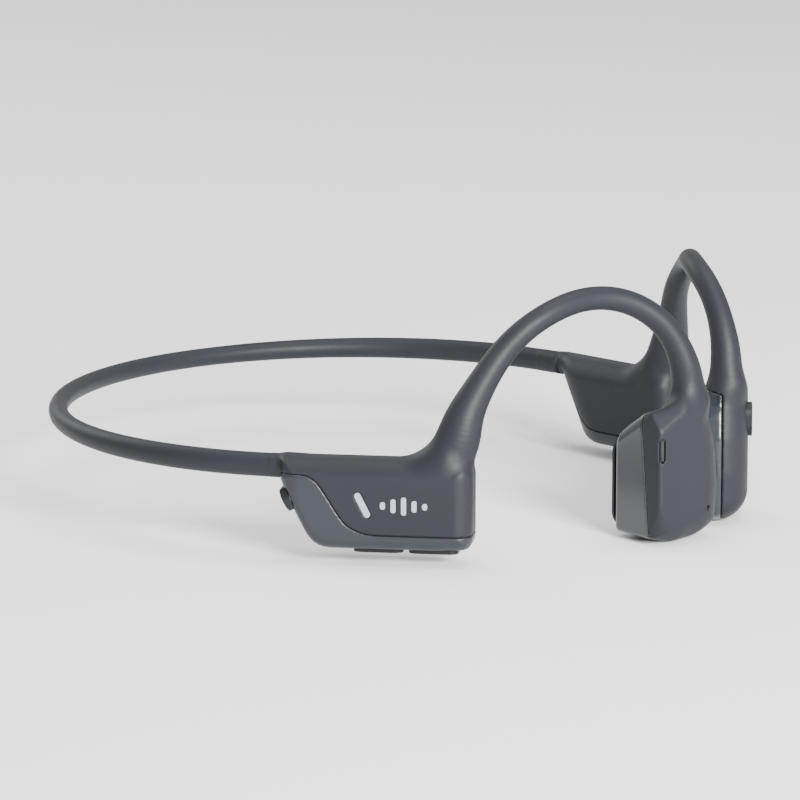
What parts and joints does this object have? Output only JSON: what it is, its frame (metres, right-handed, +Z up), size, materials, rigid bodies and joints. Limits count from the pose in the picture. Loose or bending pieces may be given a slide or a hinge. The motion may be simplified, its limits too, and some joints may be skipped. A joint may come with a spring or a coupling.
{
  "type": "bone conduction headphones",
  "caption": "Open-ear headphones: a sprung neckband, a sealed module behind each ear, ear hooks, and transducer pods that rest on the cheeks.",
  "frame": {"origin": "middle of the headphones in plan, at the height of the lowest point of the pods", "axes": "+Z up as worn, -Y the way the wearer faces, +X towards the wearer's left"},
  "size_m": [0.1222, 0.1371, 0.0484],
  "materials": {
    "silicone_skin": "soft matte silicone, slate blue-grey",
    "hard_cover": "fine satin painted plastic, slate grey",
    "gloss_housing": "glossy dark slate plastic",
    "pad_silicone": "matte silicone",
    "button_plastic": "dark grey satin",
    "spring_wire": "titanium alloy wire",
    "cable_jacket": "black jacket",
    "frame_plastic": "black moulded plastic",
    "gasket_rubber": "black rubber",
    "screw_steel": "zinc plated",
    "board": "green solder mask",
    "port_metal": "nickel plated",
    "port_rim": "dark moulded rim",
    "led": "milky resin",
    "window": "translucent milky plastic",
    "switch_metal": "stainless cap",
    "cell_foil": "pouch foil",
    "magnet": "nickel plated",
    "yoke": "plated mild steel",
    "copper": "enamelled copper",
    "mesh": "black woven mesh",
    "speaker_plastic": "black plastic"
  },
  "bodies": {
    "neckband": {"neckband_skin": "silicone_skin", "neckband_wire": "spring_wire", "neckband_cable": "cable_jacket"},
    "right_arm": {"right_band_skin": "silicone_skin", "right_hook_skin": "silicone_skin", "right_hook_wire": "spring_wire", "right_hook_cable": "cable_jacket", "right_module_skin": "silicone_skin", "right_module_cover": "hard_cover", "right_module_frame": "frame_plastic", "right_module_plate": "frame_plastic", "right_module_gasket": "gasket_rubber", "right_module_screws": "screw_steel", "main_board": "board", "charging_port": "port_metal", "port_rim": "port_rim", "status_led": "led", "status_window": "window", "volume_switches": "switch_metal"},
    "volume_up": {"volume_up_button": "button_plastic"},
    "volume_down": {"volume_down_button": "button_plastic"},
    "right_pod": {"right_hook_stem": "silicone_skin", "right_pod_shell": "silicone_skin", "right_pod_bezel": "gloss_housing", "right_magnet": "magnet", "right_magnet_yoke": "yoke", "right_suspension_spring": "screw_steel", "right_air_speaker": "speaker_plastic", "right_speaker_mesh": "mesh", "right_microphone": "switch_metal"},
    "right_vibrator": {"right_contact_pad": "pad_silicone", "right_voice_coil": "copper"},
    "left_arm": {"left_band_skin": "silicone_skin", "left_hook_skin": "silicone_skin", "left_hook_wire": "spring_wire", "left_hook_cable": "cable_jacket", "left_module_skin": "silicone_skin", "left_module_cover": "hard_cover", "left_module_frame": "frame_plastic", "left_module_plate": "frame_plastic", "left_module_gasket": "gasket_rubber", "left_module_screws": "screw_steel", "battery": "cell_foil", "battery_board": "board"},
    "left_pod": {"left_hook_stem": "silicone_skin", "left_pod_shell": "silicone_skin", "left_pod_bezel": "gloss_housing", "left_magnet": "magnet", "left_magnet_yoke": "yoke", "left_suspension_spring": "screw_steel", "left_air_speaker": "speaker_plastic", "left_speaker_mesh": "mesh", "left_microphone": "switch_metal", "multifunction_switch": "switch_metal"},
    "left_vibrator": {"left_contact_pad": "pad_silicone", "left_voice_coil": "copper"},
    "multifunction": {"multifunction_button": "button_plastic"}
  },
  "joints": [
    {"name": "right_arm_flex", "type": "hinge", "parent": "neckband", "child": "right_arm", "pos_m": [-0.04243, 0.04933, 0.017], "axis": [0, 0, -1], "range_deg": [0, 30], "stiffness_Nm_per_rad": 0.2, "deforming": ["neckband_wire", "neckband_cable"]},
    {"name": "right_hook_flex", "type": "hinge", "parent": "right_arm", "child": "right_pod", "pos_m": [-0.02158, -0.05006, 0.04605], "axis": [-0.8671, 0.4924, 0.0749], "range_deg": [0, 12], "stiffness_Nm_per_rad": 0.15, "deforming": ["right_hook_wire", "right_hook_cable"]},
    {"name": "right_vibrator_slide", "type": "slide", "parent": "right_pod", "child": "right_vibrator", "axis": [0.4226, 0.9063, 0], "range_m": [-0.0001, 0.0001], "stiffness_N_per_m": 1500},
    {"name": "left_arm_flex", "type": "hinge", "parent": "neckband", "child": "left_arm", "pos_m": [0.04243, 0.04933, 0.017], "axis": [0, 0, 1], "range_deg": [0, 30], "stiffness_Nm_per_rad": 0.2, "deforming": ["neckband_wire", "neckband_cable"]},
    {"name": "left_hook_flex", "type": "hinge", "parent": "left_arm", "child": "left_pod", "pos_m": [0.02158, -0.05006, 0.04605], "axis": [-0.8671, -0.4924, -0.0749], "range_deg": [0, 12], "stiffness_Nm_per_rad": 0.15, "deforming": ["left_hook_wire", "left_hook_cable"]},
    {"name": "left_vibrator_slide", "type": "slide", "parent": "left_pod", "child": "left_vibrator", "axis": [-0.4226, 0.9063, 0], "range_m": [-0.0001, 0.0001], "stiffness_N_per_m": 1500},
    {"name": "volume_up_press", "type": "slide", "parent": "right_arm", "child": "volume_up", "axis": [0, 0, 1], "range_m": [0, 0.00035], "stiffness_N_per_m": 3000},
    {"name": "volume_down_press", "type": "slide", "parent": "right_arm", "child": "volume_down", "axis": [0, 0, 1], "range_m": [0, 0.00035], "stiffness_N_per_m": 3000},
    {"name": "multifunction_press", "type": "slide", "parent": "left_pod", "child": "multifunction", "axis": [-0.4226, 0.9063, 0], "range_m": [0, 0.0003], "stiffness_N_per_m": 3000}
  ]
}
